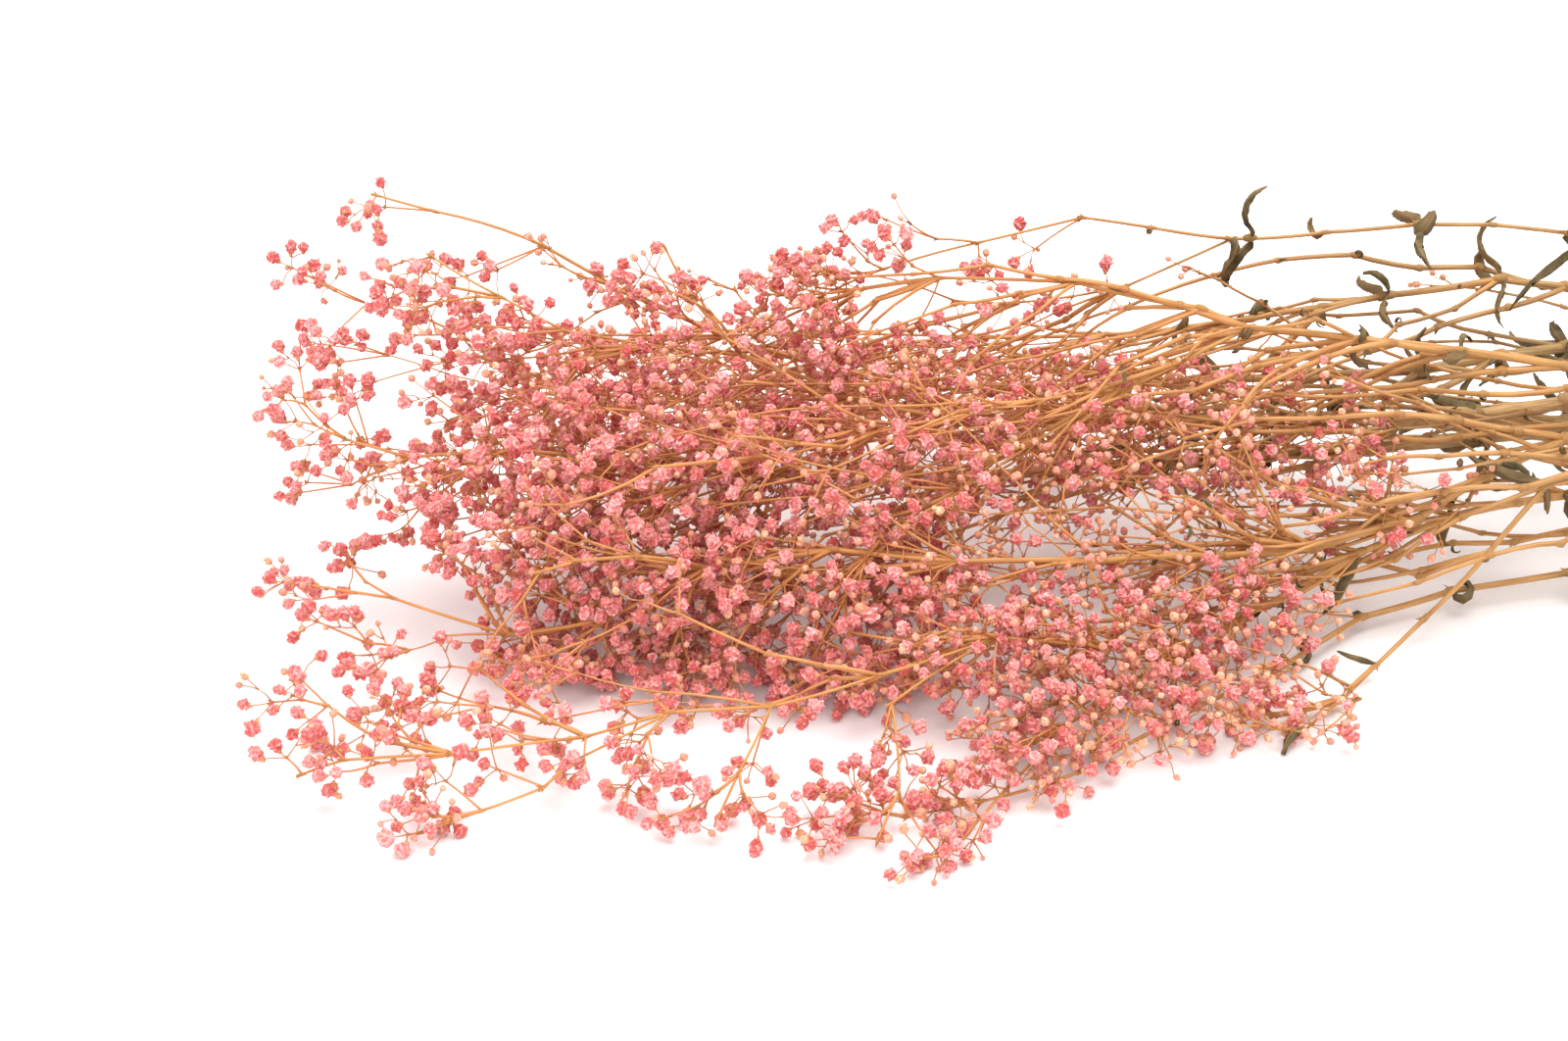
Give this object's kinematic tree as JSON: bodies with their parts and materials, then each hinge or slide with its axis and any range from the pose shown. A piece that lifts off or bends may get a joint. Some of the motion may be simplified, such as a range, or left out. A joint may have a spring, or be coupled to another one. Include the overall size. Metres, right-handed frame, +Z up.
{
  "type": "gypsophila stem",
  "caption": "Cut, dried and pink-dyed gypsophila stem lying down: a woody main stem fans out into finely forked sprays of small double florets and buds, with curled dry leaves.",
  "frame": {"origin": "centre of the stem's box on the plane that it lies on", "axes": "+X along the main stem towards its cut end, +Z up; the florets fan out towards -X"},
  "size_m": [0.5662, 0.2306, 0.1055],
  "materials": {
    "stem": "dry, matt, ochre",
    "spray": "dry twigs with pink-dyed florets, matt",
    "leaf": "dry, papery, olive-brown"
  },
  "bodies": {
    "root": {"main_stem": "stem", "branch_01": "spray", "branch_02": "spray", "branch_03": "spray", "branch_04": "spray", "branch_05": "spray", "branch_06": "spray", "branch_07": "spray", "branch_08": "spray", "branch_09": "spray", "branch_10": "spray", "branch_11": "spray", "leaf_pair_01": "leaf", "leaf_pair_02": "leaf", "leaf_pair_03": "leaf", "leaf_pair_04": "leaf", "leaf_pair_05": "leaf", "leaf_pair_06": "leaf", "leaf_pair_07": "leaf", "leaf_pair_08": "leaf", "leaf_pair_09": "leaf", "leaf_pair_10": "leaf", "leaf_pair_11": "leaf", "leaf_pair_12": "leaf", "leaf_pair_13": "leaf", "leaf_pair_14": "leaf", "leaf_pair_15": "leaf"}
  },
  "joints": []
}
